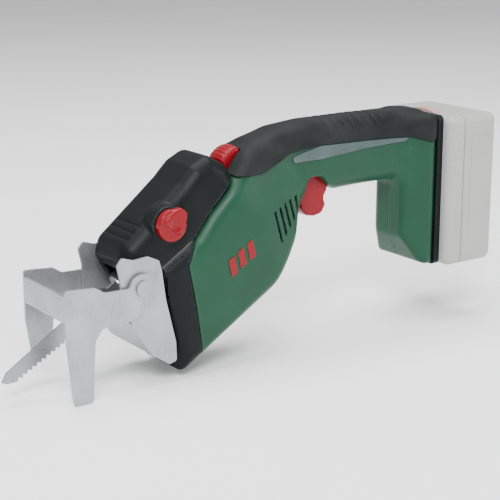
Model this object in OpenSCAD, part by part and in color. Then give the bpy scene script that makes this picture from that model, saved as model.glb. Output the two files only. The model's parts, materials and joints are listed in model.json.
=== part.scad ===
// Cordless pruning saw: reciprocating blade, swinging branch bracket, slide-on battery.
// +Z is up with the grip level, the blade points towards -X, and Y runs across the saw.
// The origin is on the stroke line where the blade leaves the nose.

/* [Body] */
// Slope of the barrel and of the stroke line below the grip
barrel_tilt = 32; // [28:1:36]
// Depth of the barrel below the stroke line
barrel_drop = 73; // [68:1:90]
// Half width of the barrel at its front
barrel_half = 31; // [29:0.5:37]
// Height of the nose cover above the stroke line
nose_rise = 38; // [36:1:46]
// Half width of the nose cover
nose_half = 26; // [24:0.5:30]
// Wall of the moulded housings
wall = 2.5; // [2:0.1:3.5]
// Edge rounding of the barrel
barrel_round = 8; // [4:1:10]

/* [Grip] */
// Height of the top of the grip under its soft cover
grip_top = 98.6; // [95:0.2:118]
// Half width of the grip under its soft cover
grip_half = 16.4; // [14:0.2:20]
// Thickness of the soft cover
cover_t = 1.6; // [1:0.1:2.2]
// Front of the foot that carries the battery
foot_front = 241; // [238:1:246]
// Half width of the foot at its back
foot_half = 29; // [26:0.5:34]
// Lowest point of the foot
foot_low = -20; // [-30:1:-10]

/* [Drive] */
// Plunger radius
rod_r = 6; // [5:0.1:7]
// Crank throw, half of the stroke
crank_throw = 10; // [8:0.5:11]
// Distance of the crank axis behind the origin along the stroke line
crank_x = 52; // [50:0.5:54]
// Teeth of the face gear
gear_teeth = 30; // [24:6:36]
// Teeth of the motor pinion
pinion_teeth = 8; // [8:1:9]
// Motor axis below the stroke line
motor_drop = 36; // [35:0.5:38]
// Motor can radius
motor_r = 18.5; // [17:0.1:20]
// Motor can length
motor_len = 38; // [34:1:40]
// Gear axle radius
axle_r = 4; // [3:0.1:5]
// Radial running clearance of shafts and bushes
run_fit = 0.05; // [0.03:0.01:0.1]

/* [Blade] */
// Blade length ahead of the origin
blade_out = 103; // [80:1:110]
// Blade height at its root
blade_h = 15; // [12:0.5:17]
// Blade thickness
blade_t = 1.3; // [1:0.1:1.6]
// Pitch of the blade teeth
tooth_pitch = 4; // [3:0.5:6]

/* [Bracket] */
// Gap between the shoe and each cheek of the bracket, filled by a washer
washer_gap = 1.5; // [1:0.1:2.5]
// Sheet thickness of the bracket
bracket_t = 2; // [1.5:0.1:2.4]
// Lowest point of the long prong
prong_low = -67; // [-75:1:-60]
// Pivot pin radius
pivot_r = 3; // [2.5:0.1:4]

/* [Battery] */
// Battery width across the saw
battery_w = 78; // [72:1:94]
// Battery height
battery_h = 117; // [110:1:141]
// Battery thickness
battery_t = 48; // [46:1:58]
// Cell radius
cell_r = 9.1; // [8.8:0.1:9.1]

/* [Controls] */
// Radius of the blade release lever
lever_r = 11; // [9:0.5:13]
// Width of the trigger
trigger_w = 15; // [12:0.5:17]
// Clearance round sliding controls
slide_gap = 0.4; // [0.3:0.1:0.6]

/* [Hidden] */
$fn = 48;
hull_fn = 24;
eps = 0.01;
seam = 0.1;
free_gap = 0.3;

green = [0.28, 0.47, 0.36];
black = [0.16, 0.19, 0.19];
red = [0.75, 0.16, 0.2];
silver = [0.7, 0.72, 0.73];
steel = [0.6, 0.61, 0.62];
pale = [0.77, 0.77, 0.76];

// Barrel outlines, in the barrel's own plane: x back along the stroke line, y up from it
nose_front = 3;
collar_low_x = -5;
green_low_x = 14;
barrel_wide = [[green_low_x, -barrel_drop], [98, -barrel_drop], [108, 4 - barrel_drop], [108, 15.5],
    [75, 8], [57, 1], [40, -9]];
barrel_rear = [[112, -barrel_drop + 6], [127, -57.5], [145, -42], [157, -28], [150, 0], [122, 18],
    [112, 16.5]];
barrel_rear_half = 19;
collar_shape = [[collar_low_x, 2 - barrel_drop], [collar_low_x + 3, -barrel_drop],
    [green_low_x - seam, -barrel_drop], [40 - seam, -9], [52, 0], [52, 1.7], [24, 1.7], [15, -18],
    [5, -48]];
nose_shape = [[nose_front, 2], [57, 2], [76, 9.4], [106, 16.4], [106, 24], [99, nose_rise + 2],
    [84, nose_rise + 3], [70, nose_rise - 1], [12, nose_rise - 8], [nose_front, nose_rise - 15]];

// Drive train
bush_wall = 3;
bush_len = 9;
gearcase_front = crank_x - 26;
gearcase_back = crank_x + 27;
gearcase_half = nose_half - wall - 1;
gearcase_top = 15;
lid_t = 3;
case_wall_t = 3;
post_w = 5;
pinion_pitch_r = 4.67;
gear_pitch_r = pinion_pitch_r * gear_teeth / pinion_teeth;
tooth_reach = 0.6;
tooth_wide = 0.9;
gear_inner = gear_pitch_r - 1;
gear_outer = gear_pitch_r + 1.5;
gear_face = -motor_drop + pinion_pitch_r + tooth_reach + 0.4;
gear_rib_h = 1.6;
gear_disc_t = 4;
carrier_t = 5;
carrier_top = gear_face - gear_rib_h - 0.5;
crank_pin_r = 3;
yoke_half = 6.5;
yoke_low = -14;
motor_x = gearcase_back;
shaft_r = 1.6;
bearing_r = 5;
bearing_t = 3;

// Blade clamp
clamp_front = -1;
clamp_len = 12;
clamp_r = 7.5;
sleeve_t = 1.5;

// Bracket, drawn level
pivot_at = [4, 3];
foot_plate_t = 1.5;
foot_plate_half = nose_half + foot_plate_t;
bracket_half = foot_plate_half + washer_gap + bracket_t;

// Grip outline, level
grip_under = 46.5;
grip_front = 100;
grip_outline = [[grip_front, 58], [92, 74], [106, grip_top - 11], [127, grip_top - 3.6],
    [154, grip_top - 1], [200, grip_top], [246, grip_top - 0.6], [262, grip_top - 3], [262, 60],
    [250, grip_under], [148, grip_under - 2]];
foot_back = 263;
foot_top = grip_top - 4;
foot_front_half = 16;
plate_back = foot_back + 5;

// Battery
battery_x = plate_back + free_gap;
battery_low = foot_low - 2;
case_wall = 2;
rail_neck = 15;
rail_head = 20;
rail_neck_t = 3;
rail_head_t = 3;
rail_low = foot_low + 12;
rail_high = foot_low + 82;
rail_gap = 0.4;
channel_top = rail_high + 4;
channel_depth = rail_neck_t + rail_head_t + rail_gap;
case_split = battery_x + 14;
spring_seat = 78;
cell_gap = 0.8;
cell_rows = [battery_x + battery_t - case_wall - 0.4 - 3 * cell_r - 0.3,
    battery_x + battery_t - case_wall - 0.4 - cell_r];
cell_low = battery_low + case_wall + 2 + cell_r;

// Trigger and buttons
trigger_front = 148;
trigger_back = 175;
trigger_low = 27;
trigger_top = 62;
trigger_travel = 6;
switch_x = trigger_front + 2;
switch_half = 9;
switch_low = trigger_top + 10 + slide_gap;
board_x = 186;
board_half = 11;
board_low = 80;
lever_at = [45, 24];
lever_hub_r = 5.5;
lock_at = 117;
lock_half = 8.5;
lock_w = 9;
lock_low = 6;
lock_top = 28;
lock_travel = 4;
screw_r = 1.6;
screw_head_r = 3;
boss_r = 4;
barrel_screws = [[46, -62], [104, -62.5], [100, 5]];
grip_screws = [[128, 60, 19], [196, 70, grip_half], [246, 72, grip_half + 8]];
button_x = battery_x + 5;
button_top = battery_low + battery_h;
button_travel = 3;

// Turns a shape from the barrel's own plane to its slope
module on_barrel() {
    rotate([0, -barrel_tilt, 0]) children();
}

// Plate standing across Y, from y0 to y1, with its outline in the X-Z plane
module across(y0, y1) {
    translate([0, y1, 0]) rotate([90, 0, 0]) linear_extrude(y1 - y0) children();
}

// Round bar along X from x0 to x1, at height z
module bar_x(r, x0, x1, z = 0, y = 0) {
    translate([x0, y, z]) rotate([0, 90, 0]) cylinder(r = r, h = x1 - x0);
}

// Round bar along Y from y0 to y1
module bar_y(r, x, z, y0, y1) {
    translate([x, y1, z]) rotate([90, 0, 0]) cylinder(r = r, h = y1 - y0);
}

// Box from one corner to the opposite one
module block(low, high) {
    translate(low) cube(high - low);
}

// Flat-sided body with softened edges, for a convex outline
module soft_slab(half, edge) {
    across(-half, half) offset(delta = -edge) children();
    across(-half + 0.3 * edge, half - 0.3 * edge) offset(delta = -0.3 * edge) children();
    across(-half + edge, half - edge) children();
}

// Coil spring along Z, drawn as a corrugated tube at its shortest length
module coil(r, wire, len) {
    turns = ceil((len - wire) / (0.75 * wire));
    rotate_extrude() for (i = [0 : turns]) translate([r, wire / 2 + i * (len - wire) / turns])
        circle(d = wire, $fn = 16);
}

module barrel_body(inset) {
    on_barrel() hull() {
        soft_slab(barrel_half - inset, barrel_round) offset(delta = -inset) polygon(barrel_wide);
        soft_slab(barrel_rear_half - inset, barrel_round - 2) offset(delta = -inset)
            polygon(barrel_rear);
    }
}

module grip_body(inset) {
    hull() soft_slab(grip_half - inset, grip_half / 2) offset(delta = -inset) polygon(grip_outline);
}

module foot_body(inset) {
    hull() {
        block([foot_front + inset, -foot_front_half + inset, foot_low + 18],
            [foot_back - 6, foot_front_half - inset, foot_top - inset]);
        block([foot_front + 12, -foot_front_half + inset, foot_low + inset],
            [foot_back - 6, foot_front_half - inset, foot_top - inset]);
        block([foot_back - 6, -foot_half + inset, foot_low + 4 + inset],
            [foot_back, foot_half - inset, foot_top - 5 - inset]);
        block([foot_back - 6, -foot_half + 6, foot_low + inset],
            [foot_back, foot_half - 6, foot_top - inset]);
    }
}

// Screw posts along Y in the three widths of the housing
module screw_posts(r, reach) {
    on_barrel() for (p = barrel_screws)
        bar_y(r, p[0], p[1], -barrel_rear_half - reach, barrel_rear_half + reach);
    for (p = grip_screws) bar_y(r, p[0], p[1], -p[2] - reach, p[2] + reach);
}

// Hollow on both sides of the trigger, below the grip
module trigger_arch(grow) {
    across(-40, 40) offset(delta = grow) polygon([[trigger_front - 2, trigger_low - 7],
        [trigger_front - 1, trigger_top - 10], [trigger_front + 3, trigger_top - 3],
        [trigger_front + 15, trigger_top - 3], [trigger_back - 4, trigger_top - 11],
        [trigger_back + 7, trigger_low + 17], [trigger_back + 7, trigger_low - 7]]);
}

module housing_shell() {
    difference() {
        union() {
            barrel_body(0);
            grip_body(0);
            foot_body(0);
        }
        trigger_arch(0);
        difference() {
            union() {
                barrel_body(wall);
                grip_body(wall);
                foot_body(wall);
                on_barrel() across(-barrel_half + wall + 2, barrel_half - wall - 2)
                    polygon([[8, 2 * wall - barrel_drop], [24, 2 * wall - barrel_drop], [50, -10],
                        [80, 5], [56, 5], [34, -10]]);
            }
            screw_posts(boss_r, 20);
            inner_ribs();
            trigger_arch(wall);
            on_barrel() block([lock_at - 12, -30, lock_low - lock_travel - 5.5],
                [lock_at + 12, 30, lock_low - lock_travel - 3]);
        }
        housing_openings();
    }
}

// Ribs that carry the switch and the control board
module inner_ribs() {
    for (side = [0, 1]) mirror([0, side, 0]) {
        block([switch_x + 6, switch_half, switch_low + 2], [switch_x + 9, grip_half + 4, switch_low + 12]);
        for (x = [board_x + 4, board_x + 40])
            block([x, board_half - 2, board_low - 4], [x + 3, grip_half + 4, board_low]);
    }
}

// Everything that is cut through the closed housing
module housing_openings() {
    // Trigger slot under the grip
    block([trigger_front - slide_gap, -trigger_w / 2 - slide_gap, trigger_low - 10],
        [trigger_back + slide_gap, trigger_w / 2 + slide_gap, 66]);
    lock_well();
    // Way through the back of the foot for the terminals
    block([foot_back - wall - 1, -11, rail_low + 20], [foot_back + 1, 11, rail_high - 8]);
    screw_posts(screw_r + run_fit, 0);
    screw_heads(screw_head_r + run_fit, 40);
    on_barrel() nose_seat();
    // Room for the gear case under the nose cover
    on_barrel() block([gearcase_front - 6, -gearcase_half - 0.6, carrier_top - 10],
        [gearcase_back + 1.5, gearcase_half + 0.6, 40]);
}

// Well of the lock-off button in the top of the barrel
module lock_well() {
    on_barrel() block([lock_at - lock_half - slide_gap, -lock_w - slide_gap, lock_low - lock_travel - 3],
        [lock_at + lock_half + slide_gap, lock_w + slide_gap, 60]);
}

// Room for the nose cover over the front of the barrel
module nose_seat() {
    across(-60, 60) polygon([[40, 2 - seam], [57, 2 - seam], [76, 9.4 - seam], [106 + seam, 16.4 - seam],
        [106 + seam, 40], [40, 40]]);
}

// Screw heads sit in counterbores on the right
module screw_heads(r, up) {
    on_barrel() for (p = barrel_screws)
        bar_y(r, p[0], p[1], barrel_rear_half - 6, barrel_rear_half + up - 3);
    for (p = grip_screws) bar_y(r, p[0], p[1], p[2] - 6, p[2] + up - 3);
}

module housing_left() {
    color(green) intersection() {
        housing_shell();
        block([-50, -60, -120], [300, 0, 160]);
    }
}

module housing_right() {
    color(green) intersection() {
        housing_shell();
        block([-50, 0, -120], [300, 60, 160]);
    }
}

module front_collar() {
    color(black) on_barrel() difference() {
        hull() {
            across(-barrel_half, barrel_half) offset(delta = -4) polygon(collar_shape);
            across(-barrel_half + 6, barrel_half - 6) polygon(collar_shape);
        }
        // Hollow behind the front wall, open at the back
        across(-barrel_half + wall, barrel_half - wall) polygon([[0, 2 * wall - barrel_drop],
            [40, 2 * wall - barrel_drop], [60, -8], [60, 10], [27, 10], [18, -18], [9, -46]]);
        across(-60, 60) polygon([[24, 1.6], [15, -18], [5, -48], [-20, -48], [-20, 40], [24, 40]]);
        across(-60, 60) polygon([[green_low_x - seam, -100], [green_low_x - seam, -barrel_drop],
            [40 - seam, -9], [57, 1], [80, 1], [80, -100]]);
        block([0, -nose_half, -20], [60, nose_half, 10]);
    }
}

module nose_cover() {
    color(black) on_barrel() difference() {
        union() {
            hull() {
                across(-nose_half, nose_half) polygon([[nose_front, 2], [30, 2], [57, 2], [76, 9.4],
                    [100, 15], [96, nose_rise - 12], [12, nose_rise - 20], [nose_front, nose_rise - 24]]);
                across(-nose_half + 3, nose_half - 3) offset(delta = -3) polygon(nose_shape);
                across(-nose_half + 12, nose_half - 12) polygon(nose_shape);
            }
            bar_y(lever_r + 1.2, lever_at[0], lever_at[1], -nose_half, -nose_half + 12);
            across(-nose_half, nose_half) polygon([[nose_front, -13], [14, -13], [20, 0], [20, 2.5],
                [nose_front, 2.5]]);
        }
        // Hollow over the gear case, open below and at the front for the clamp
        hull() {
            across(-nose_half + wall, nose_half - wall) polygon([[nose_front + wall, -1], [94, -1],
                [92, nose_rise - 16], [nose_front + wall, nose_rise - 26]]);
            across(-nose_half + 13, nose_half - 13) polygon([[nose_front + wall, -1], [94, -1],
                [92, nose_rise - 3], [74, nose_rise - 4], [nose_front + wall, nose_rise - 14]]);
        }
        block([-5, -13, -10.5], [nose_front + wall + 1, 13, 14]);
        block([nose_front + wall, wall - nose_half, -10.5], [30, nose_half - wall, 12]);
        bar_y(lever_hub_r + slide_gap, lever_at[0], lever_at[1], -40, -10);
        bar_y(9, lever_at[0], lever_at[1], -nose_half + wall, 0);
        across(-60, 60) polygon([[40, 1], [57, 2], [76, 9.4], [107, 16.4], [107, 1]]);
    }
}

// Soft cover over the grip, round the lock-off button and over the foot
module grip_cover() {
    color(black) difference() {
        intersection() {
            union() {
                grip_body(-cover_t);
                barrel_body(-cover_t);
                foot_body(-cover_t);
            }
            across(-40, 40) polygon([[70, 70], [104, 70], [130, 79], [160, 82], [246, 80],
                [foot_back - seam, 74], [foot_back - seam, 120], [70, 120]]);
        }
        grip_body(0);
        barrel_body(0);
        foot_body(0);
        on_barrel() across(-60, 60) polygon([[20, -20], [106 + free_gap, -20],
            [106 + free_gap, 60], [20, 60]]);
        lock_well();
    }
}

module grip_stripes() {
    color([0.4, 0.47, 0.47]) for (side = [-1, 1]) intersection() {
        difference() {
            grip_body(-cover_t + 0.4);
            grip_body(0);
            barrel_body(0);
            foot_body(0);
        }
        across(min(side * 6, side * 30), max(side * 6, side * 30)) polygon([[138, 70.5], [166, 73],
            [236, 71],
            [236, 80 - seam], [160, 82 - seam], [138, 79.4]]);
    }
}

// Slanted bars raised on both sides of the barrel
module side_badges() {
    color(red) on_barrel() for (side = [-1, 1]) for (k = [0 : 2])
        across(min(side * barrel_half, side * (barrel_half + 0.8)), max(side * barrel_half,
            side * (barrel_half + 0.8)))
            translate([62 + k * 9, -38]) polygon([[0, 0], [6, 0], [10, 12], [4, 12]]);
}

// Sheet-metal shoe: two cheeks and a front web below the blade
module foot_plate() {
    cheek = [[-14, 2], [-6, 16], [-2, 27], [4, 29], [10, 22], [20, 17], [25, 9], [23, 2], [14, -18],
        [4, -48], [-3, -60], [-9, -58], [-16, -42]];
    color(silver) on_barrel() difference() {
        union() {
            for (side = [-1, 1]) across(side > 0 ? foot_plate_half - foot_plate_t : -foot_plate_half,
                side > 0 ? foot_plate_half : -foot_plate_half + foot_plate_t)
                offset(r = 2, $fn = hull_fn) offset(delta = -2) polygon(cheek);
            across(-foot_plate_half, foot_plate_half) polygon([[-16, -13], [-16, -42], [-9, -58],
                [-7.6, -57.4], [-14.4, -42], [-14.4, -13]]);
        }
        bar_y(pivot_r + run_fit, pivot_at[0], pivot_at[1], -60, 60);
    }
}

// Cheek of the swinging bracket, drawn level; low is the tip of its prong
module bracket_cheek(low) {
    pivot = [pivot_at[0] * cos(barrel_tilt) - pivot_at[1] * sin(barrel_tilt),
        pivot_at[0] * sin(barrel_tilt) + pivot_at[1] * cos(barrel_tilt)];
    offset(r = -2, $fn = hull_fn) offset(r = 4, $fn = hull_fn) offset(delta = -2) union() {
        polygon([[-56, 12.5], [-34, 11], [-27, 6.5], [-4, 6], [2, -2], [-2, -14], [-16, -19], [-29, -17.5],
            [-35, -25], [-38, low], [-52, low], [-56, -22]]);
        translate(pivot) circle(r = 10);
    }
}

module branch_bracket() {
    color(silver) difference() {
        union() {
            across(-bracket_half, -bracket_half + bracket_t) bracket_cheek(prong_low);
            across(bracket_half - bracket_t, bracket_half) bracket_cheek(prong_low + 17);
            // Front bridge above the blade
            across(-bracket_half, bracket_half) polygon([[-56, 8], [-56, -10], [-54, -10], [-54, 8]]);
        }
        on_barrel() bar_y(pivot_r + run_fit, pivot_at[0], pivot_at[1], -60, 60);
    }
}

// Shouldered rivets that the bracket swings on
module bracket_pins() {
    color(steel) on_barrel() for (side = [0, 1]) mirror([0, side, 0]) {
        bar_y(pivot_r, pivot_at[0], pivot_at[1], -bracket_half - free_gap, -nose_half);
        bar_y(pivot_r + 2.5, pivot_at[0], pivot_at[1], -bracket_half - free_gap - 1.5,
            -bracket_half - free_gap);
    }
}

// Washers between the shoe and the cheeks of the bracket
module bracket_washers() {
    color(steel) on_barrel() for (side = [0, 1]) mirror([0, side, 0]) difference() {
        bar_y(pivot_r + 3, pivot_at[0], pivot_at[1], -foot_plate_half - washer_gap + seam,
            -foot_plate_half);
        bar_y(pivot_r + run_fit, pivot_at[0], pivot_at[1], -60, 0);
    }
}

module saw_blade() {
    root = clamp_front + clamp_len - 2;
    teeth = floor((blade_out - 18) / tooth_pitch);
    low = -blade_h / 2 - 1;
    color(steel) on_barrel() across(-blade_t / 2, blade_t / 2) difference() {
        polygon(concat([[root, 4], [root, -4], [-6, -4], [-10, low + 1.5]],
            [for (i = [0 : teeth - 1]) for (s = [0, 1])
                [-12 - (i + 0.5 * s) * tooth_pitch, low + 0.055 * (i * tooth_pitch) + (s > 0 ? 0 : 2.2)]],
            [[-blade_out + 2, 0], [-blade_out, 3], [-blade_out + 6, 6.5], [-12, blade_h / 2], [-8, 4]]));
        translate([root - 5, 0]) circle(r = 1.6);
    }
}

module blade_clamp() {
    color(steel) on_barrel() difference() {
        bar_x(clamp_r, clamp_front, clamp_front + clamp_len);
        block([clamp_front - 1, -blade_t / 2 - seam, -4.1],
            [clamp_front + clamp_len - 2, blade_t / 2 + seam, 4.1]);
        bar_x(rod_r - 1.5, clamp_front + clamp_len - 1.5, clamp_front + clamp_len + 1);
    }
}

module clamp_sleeve() {
    color(black) on_barrel() difference() {
        bar_x(clamp_r + sleeve_t + seam, clamp_front + 1, clamp_front + clamp_len - 1);
        bar_x(clamp_r + seam, clamp_front, clamp_front + clamp_len);
    }
}

module clamp_spring() {
    color(steel) on_barrel() translate([clamp_front + clamp_len, 0, 0]) rotate([0, 90, 0])
        coil(rod_r + 1, 1, 2.5);
}

module plunger() {
    color(steel) on_barrel() union() {
        bar_x(rod_r, clamp_front + clamp_len, gearcase_back + 6);
        bar_x(rod_r - 1.5 - run_fit, clamp_front + clamp_len - 1.5, clamp_front + clamp_len + 1);
    }
}

// Cross-slot plate that the crank pin drives
module scotch_yoke() {
    color(steel) on_barrel() difference() {
        union() {
            block([crank_x - yoke_half, -crank_throw - 6, yoke_low],
                [crank_x + yoke_half, crank_throw + 6, yoke_low + 6]);
            block([crank_x - yoke_half, -rod_r - 2, yoke_low + 5], [crank_x + yoke_half, rod_r + 2, 3]);
        }
        bar_x(rod_r + seam / 2, 0, 120);
        block([crank_x - crank_pin_r - seam, -crank_throw - crank_pin_r, yoke_low - 1],
            [crank_x + crank_pin_r + seam, crank_throw + crank_pin_r, yoke_low + 6.5]);
    }
}

module ring_x(r_out, r_in, x0, x1, z = 0) {
    difference() {
        bar_x(r_out, x0, x1, z);
        bar_x(r_in, x0 - 1, x1 + 1, z);
    }
}

module front_bush() {
    color([0.7, 0.55, 0.3]) on_barrel() ring_x(rod_r + bush_wall, rod_r + run_fit, gearcase_front + 1,
        gearcase_front + bush_len);
}

module rear_bush() {
    color([0.7, 0.55, 0.3]) on_barrel() ring_x(rod_r + bush_wall, rod_r + run_fit,
        gearcase_back - bush_len, gearcase_back - 1);
}

module rod_seal() {
    color(black) on_barrel()
        ring_x(rod_r + bush_wall, rod_r + run_fit, gearcase_front - 1, gearcase_front + 1 - eps);
}

// Four corner posts of the gear case, as one pattern for the case, lid and screws
module at_case_posts() {
    inset = case_wall_t + post_w / 2;
    for (x = [gearcase_front + inset, gearcase_back - inset]) for (side = [-1, 1])
        translate([x, side * (gearcase_half - inset), 0]) children();
}

module gearbox_case() {
    low = carrier_top - carrier_t;
    lid_low = gearcase_top - lid_t;
    boss = rod_r + bush_wall + 2;
    color([0.55, 0.56, 0.57]) on_barrel() difference() {
        union() {
            difference() {
                block([gearcase_front, -gearcase_half, low], [gearcase_back, gearcase_half, lid_low]);
                block([gearcase_front + case_wall_t, -gearcase_half + case_wall_t, carrier_top],
                    [gearcase_back - case_wall_t, gearcase_half - case_wall_t, gearcase_top]);
            }
            at_case_posts() block([-post_w / 2, -post_w / 2, low], [post_w / 2, post_w / 2, lid_low]);
            bar_x(boss, gearcase_front - 1.5, gearcase_front + bush_len);
            bar_x(boss, gearcase_back - bush_len, gearcase_back);
            // Flange that holds the motor
            block([gearcase_back - case_wall_t, -motor_r, -motor_drop - motor_r],
                [gearcase_back, motor_r, 0]);
        }
        bar_x(rod_r + bush_wall + run_fit, gearcase_front - 2, gearcase_back + 2);
        // Way for the pinion
        bar_x(10, crank_x + 13, gearcase_back + 1, -motor_drop);
        translate([crank_x, 0, low - 1]) cylinder(r = axle_r + eps, h = carrier_t + 2);
        at_case_posts() translate([0, 0, lid_low - 10]) cylinder(r = screw_r + eps, h = 11);
    }
}

module gearbox_lid() {
    color([0.5, 0.51, 0.52]) on_barrel() difference() {
        block([gearcase_front, -gearcase_half, gearcase_top - lid_t],
            [gearcase_back, gearcase_half, gearcase_top]);
        at_case_posts() cylinder(r = screw_r + run_fit, h = 40);
    }
}

module gearbox_screws() {
    color(steel) on_barrel() at_case_posts() {
        translate([0, 0, gearcase_top - lid_t - 8]) cylinder(r = screw_r, h = lid_t + 8);
        translate([0, 0, gearcase_top]) cylinder(r = screw_r + 1.2, h = 1.8);
    }
}

// Face gear with radial ribs below, and the crank pin above
module crank_gear() {
    color(steel) on_barrel() translate([crank_x, 0, gear_face]) difference() {
        union() {
            cylinder(r = gear_outer, h = gear_disc_t);
            for (i = [0 : gear_teeth - 1]) rotate([0, 0, (i + 0.5) * 360 / gear_teeth])
                translate([gear_inner, -0.5, -gear_rib_h])
                    cube([gear_outer - gear_inner, 1, gear_rib_h + 0.5]);
            translate([crank_throw, 0, 0]) cylinder(r = crank_pin_r, h = yoke_low - gear_face - free_gap);
            translate([0, 0, -gear_rib_h - 0.4]) cylinder(r = axle_r + 3, h = gear_rib_h + gear_disc_t + 3);
        }
        translate([0, 0, -10]) cylinder(r = axle_r + run_fit, h = 30);
    }
}

module gear_axle() {
    color(steel) on_barrel() translate([crank_x, 0, carrier_top - carrier_t])
        cylinder(r = axle_r, h = gear_face - carrier_top + carrier_t + gear_disc_t + 4);
}

module motor_can() {
    color(steel) on_barrel() difference() {
        bar_x(motor_r, motor_x, motor_x + motor_len, -motor_drop);
        bar_x(motor_r - 1.5, motor_x + 1.5, motor_x + motor_len + 1, -motor_drop);
        bar_x(bearing_r + run_fit, motor_x - 1, motor_x + 2, -motor_drop);
    }
}

module motor_magnets() {
    color([0.3, 0.3, 0.3]) on_barrel() difference() {
        ring_x(motor_r - 1.55, motor_r - 4.5, motor_x + 5, motor_x + motor_len - 12, -motor_drop);
        block([motor_x, -4, -motor_drop - 30], [motor_x + motor_len, 4, -motor_drop + 30]);
    }
}

module motor_end_cap() {
    color(black) on_barrel() difference() {
        bar_x(motor_r - 1.5 - run_fit, motor_x + motor_len - 4, motor_x + motor_len + 3, -motor_drop);
        bar_x(bearing_r + run_fit, motor_x + motor_len - 5, motor_x + motor_len - 4 + bearing_t,
            -motor_drop);
        bar_x(shaft_r + 0.6, motor_x, motor_x + motor_len + 5, -motor_drop);
    }
}

module motor_bearings() {
    color(steel) on_barrel() {
        ring_x(bearing_r, shaft_r + run_fit, motor_x - 1, motor_x - 1 + bearing_t, -motor_drop);
        ring_x(bearing_r, shaft_r + run_fit, motor_x + motor_len - 4,
            motor_x + motor_len - 4 + bearing_t - eps,
            -motor_drop);
    }
}

module rotor() {
    slots = 5;
    color([0.6, 0.4, 0.25]) on_barrel() union() {
        bar_x(shaft_r, crank_x + 15, motor_x + motor_len + 5, -motor_drop);
        difference() {
            bar_x(motor_r - 5, motor_x + 6, motor_x + motor_len - 12, -motor_drop);
            for (i = [0 : slots - 1]) translate([0, 0, -motor_drop]) rotate([i * 360 / slots, 0, 0])
                block([motor_x, -1.5, motor_r - 9], [motor_x + motor_len, 1.5, motor_r]);
        }
    }
}

module cooling_fan() {
    blades = 8;
    color(black) on_barrel() difference() {
        union() {
            bar_x(4, motor_x + motor_len - 10, motor_x + motor_len - 5, -motor_drop);
            for (i = [0 : blades - 1]) translate([0, 0, -motor_drop]) rotate([i * 360 / blades, 0, 0])
                block([motor_x + motor_len - 10, -0.6, 2], [motor_x + motor_len - 5.5, 0.6, motor_r - 3.5]);
        }
        bar_x(shaft_r + eps, motor_x, motor_x + motor_len, -motor_drop);
    }
}

module pinion() {
    color(steel) on_barrel() translate([crank_x + gear_inner - 0.5, 0, -motor_drop]) difference() {
        union() {
            bar_x(pinion_pitch_r - 1.2, 0, 8);
            for (i = [0 : pinion_teeth - 1]) rotate([i * 360 / pinion_teeth, 0, 0])
                block([0, -tooth_wide / 2, 2], [8, tooth_wide / 2, pinion_pitch_r + tooth_reach]);
        }
        bar_x(shaft_r + eps, -1, 9);
    }
}

// Round lever with a finger tab, on the left of the nose
module release_lever() {
    color(red) on_barrel() union() {
        bar_y(lever_r, lever_at[0], lever_at[1], -nose_half - 6, -nose_half - free_gap);
        bar_y(lever_hub_r, lever_at[0], lever_at[1], -nose_half - 1, -nose_half + 8);
        bar_y(lever_hub_r + 2.5, lever_at[0], lever_at[1], -nose_half + 8 - eps, -nose_half + 10);
        across(-nose_half - 8, -nose_half - 2) translate(lever_at) rotate(20)
            polygon([[-3, -8], [3, -8], [13, -3], [13, 3], [3, 8], [-3, 8]]);
    }
}

module lever_spring() {
    color(steel) on_barrel() translate([lever_at[0], -nose_half + wall, lever_at[1]]) rotate([-90, 0, 0])
        coil(lever_hub_r + 1.2, 1, 8 - wall - free_gap);
}

module lock_off_button() {
    color(red) on_barrel() difference() {
        hull() {
            block([lock_at - lock_half, -lock_w, lock_low], [lock_at + lock_half, lock_w, lock_top - 6]);
            block([lock_at - lock_half + 3, -lock_w + 3, lock_low],
                [lock_at + lock_half - 3, lock_w - 3, lock_top]);
        }
        translate([lock_at, 0, lock_low - 1]) cylinder(r = 4.5, h = 5);
    }
}

module lock_off_spring() {
    color(steel) on_barrel() translate([lock_at, 0, lock_low - lock_travel - 3]) coil(3.2, 0.8, 6.8);
}

module trigger() {
    color(red) difference() {
        across(-trigger_w / 2, trigger_w / 2) polygon([[trigger_front, trigger_top], [trigger_front, 44],
            [trigger_front + 3, 33], [trigger_front + 9, trigger_low + 1],
                [trigger_front + 16, trigger_low],
            [trigger_back - 4, trigger_low + 2], [trigger_back - 1, trigger_low + 8],
                [trigger_back - 4, 40],
            [trigger_back, 46], [trigger_back, trigger_top]]);
        translate([trigger_back - 8, 0, trigger_top - 6]) cylinder(r = 4.5, h = 10);
    }
}

module trigger_spring() {
    color(steel) translate([trigger_back - 8, 0, trigger_top + slide_gap]) coil(3.2, 0.8, 10);
}

module switch_module() {
    color(black) union() {
        block([switch_x, -switch_half, switch_low], [trigger_back - 2, switch_half, switch_low + 15.6]);
        translate([trigger_front + 8, 0, trigger_top + trigger_travel + slide_gap])
            cylinder(r = 2.5, h = 6);
    }
}

module control_board() {
    color([0.1, 0.35, 0.2]) union() {
        block([board_x, -board_half, board_low], [board_x + 48, board_half, board_low + 1.6]);
        block([board_x + 10, -6, board_low + 1.5], [board_x + 22, 6, board_low + 6]);
        block([board_x + 28, -8, board_low + 1.5], [board_x + 36, 8, board_low + 4]);
    }
}

module wiring() {
    color(red) {
        for (y = [-5, 3]) {
            block([trigger_back - 2, y, board_low], [board_x, y + 2, board_low + 1.6]);
            block([board_x + 48, y, board_low], [foot_back - wall - 3, y + 2, board_low + 1.6]);
            block([foot_back - wall - 5, y, rail_high - 12], [foot_back - wall - 3, y + 2, board_low]);
        }
    }
}

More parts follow.
